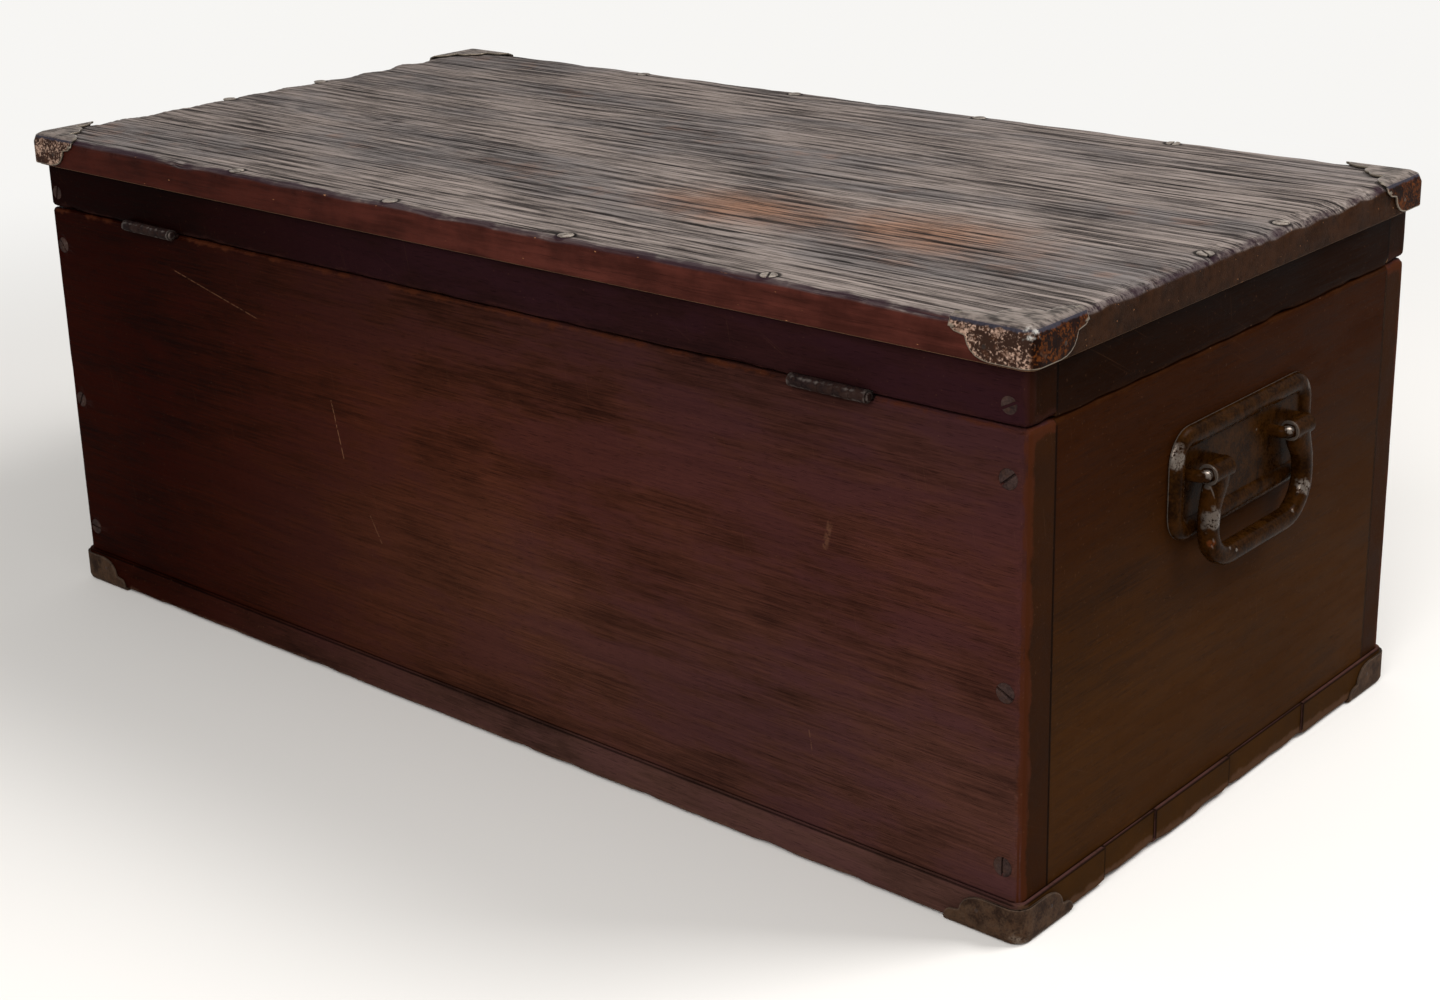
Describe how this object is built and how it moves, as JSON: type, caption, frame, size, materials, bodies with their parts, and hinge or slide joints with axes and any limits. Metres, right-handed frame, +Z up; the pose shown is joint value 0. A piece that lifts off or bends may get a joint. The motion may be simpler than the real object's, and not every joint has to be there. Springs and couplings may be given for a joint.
{
  "type": "machinist tool chest",
  "caption": "Long wooden tool chest with a hinged lid, scalloped metal corner caps, drop handles on both ends, a link lock and a sliding till.",
  "frame": {"origin": "under the middle of the chest, on the plane that it stands on", "axes": "+X along the chest to the right end seen from the front, +Y to the back with the hinges, +Z up"},
  "size_m": [0.742, 0.3674, 0.2897],
  "materials": {
    "wall_wood": "stained reddish brown, worn semi-gloss",
    "end_wood": "stained olive brown, worn satin",
    "top_wood": "weathered grey brown with raised open grain",
    "floor_wood": "dark stain, scuffed",
    "inner_wood": "bare, oiled by use",
    "cap_steel": "rust speckled, bright on worn edges",
    "handle_steel": "brown black paint, worn bright on rims and bends",
    "hinge_steel": "dark, lightly worn",
    "lock_brass": "dull, tarnished",
    "screw_steel": "stained over, dark slots"
  },
  "bodies": {
    "chest": {"front_board": "wall_wood", "back_board": "wall_wood", "left_end_board": "end_wood", "right_end_board": "end_wood", "floor_board_1": "floor_wood", "floor_board_2": "floor_wood", "floor_board_3": "floor_wood", "floor_board_4": "floor_wood", "floor_board_5": "floor_wood", "foot_cap_front_left": "cap_steel", "foot_cap_front_right": "cap_steel", "foot_cap_back_right": "cap_steel", "foot_cap_back_left": "cap_steel", "screw_back_right_1": "screw_steel", "screw_back_right_2": "screw_steel", "screw_back_right_3": "screw_steel", "screw_back_left_1": "screw_steel", "screw_back_left_2": "screw_steel", "screw_back_left_3": "screw_steel", "screw_front_right_1": "screw_steel", "screw_front_right_2": "screw_steel", "screw_front_right_3": "screw_steel", "screw_front_left_1": "screw_steel", "screw_front_left_2": "screw_steel", "screw_front_left_3": "screw_steel", "left_hinge_lower_leaf": "hinge_steel", "right_hinge_lower_leaf": "hinge_steel", "left_hinge_pin": "hinge_steel", "right_hinge_pin": "hinge_steel", "left_handle_plate": "handle_steel", "right_handle_plate": "handle_steel", "left_staple_1": "handle_steel", "left_staple_2": "handle_steel", "right_staple_1": "handle_steel", "right_staple_2": "handle_steel", "lock_case": "lock_brass", "till_runner_front": "inner_wood", "till_runner_back": "inner_wood"},
    "lid": {"lid_top_board": "top_wood", "lid_back_rim": "wall_wood", "lid_front_rim": "wall_wood", "lid_left_rim": "end_wood", "lid_right_rim": "end_wood", "top_cap_front_left": "cap_steel", "top_cap_front_right": "cap_steel", "top_cap_back_right": "cap_steel", "top_cap_back_left": "cap_steel", "left_hinge_upper_leaf": "hinge_steel", "right_hinge_upper_leaf": "hinge_steel", "lock_link_plate": "lock_brass"},
    "left_bail": {"left_bail": "handle_steel"},
    "right_bail": {"right_bail": "handle_steel"},
    "lock_bolt": {"lock_bolt": "lock_brass"},
    "till": {"till_floor": "inner_wood", "till_front": "inner_wood", "till_back": "inner_wood", "till_left_end": "inner_wood", "till_right_end": "inner_wood"}
  },
  "joints": [
    {"name": "lid_hinge", "type": "hinge", "parent": "chest", "child": "lid", "pos_m": [0, 0.1805, 0.2434], "axis": [-1, 0, 0], "range_deg": [0, 175]},
    {"name": "left_bail_hinge", "type": "hinge", "parent": "chest", "child": "left_bail", "pos_m": [-0.3657, -0.0055, 0.1871], "axis": [0, 1, 0], "range_deg": [0, 180]},
    {"name": "right_bail_hinge", "type": "hinge", "parent": "chest", "child": "right_bail", "pos_m": [0.3657, -0.0055, 0.1871], "axis": [0, -1, 0], "range_deg": [0, 180]},
    {"name": "bolt_slide", "type": "slide", "parent": "chest", "child": "lock_bolt", "axis": [1, 0, 0], "range_m": [0, 0.008]},
    {"name": "till_slide", "type": "slide", "parent": "chest", "child": "till", "axis": [1, 0, 0], "range_m": [0, 0.347]}
  ]
}
